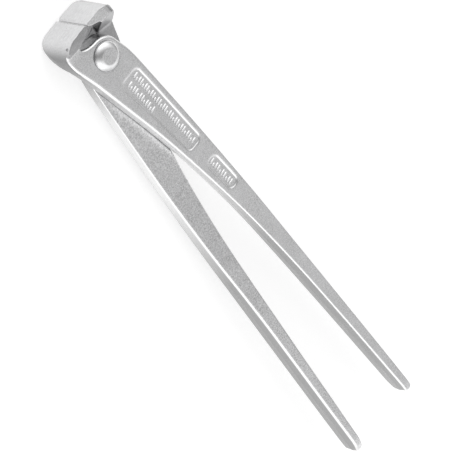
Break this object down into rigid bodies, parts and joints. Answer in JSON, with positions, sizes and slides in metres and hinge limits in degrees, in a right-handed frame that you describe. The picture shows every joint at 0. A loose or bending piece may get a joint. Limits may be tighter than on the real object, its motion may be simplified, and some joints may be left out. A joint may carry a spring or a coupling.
{
  "type": "end-cutting nippers",
  "caption": "High-leverage end-cutting nippers, tower pincer type, two zinc plated drop-forged halves on one rivet, jaws closed, long slim bare steel handles",
  "frame": {"origin": "the middle of the bounding box's bottom face: under the middle of the tool, on the surface it lies on", "axes": "+Z is the rivet's axis, up from the surface the tool lies on. +Y runs along the tool, from the handle ends to the cutting nose. +X is across the tool, towards the end of the front half's handle"},
  "size_m": [0.047, 0.3, 0.0236],
  "materials": {
    "zinc_plated_forging": "satin",
    "zinc_plated_rivet": "semi_gloss"
  },
  "bodies": {
    "rear_half": {"rear_arm": "zinc_plated_forging", "pivot_rivet": "zinc_plated_rivet"},
    "front_half": {"front_arm": "zinc_plated_forging"}
  },
  "joints": [
    {"name": "jaw_pivot", "type": "hinge", "parent": "rear_half", "child": "front_half", "pos_m": [0, 0.1266, 0.0118], "axis": [0, 0, 1], "range_deg": [0, 45]}
  ]
}
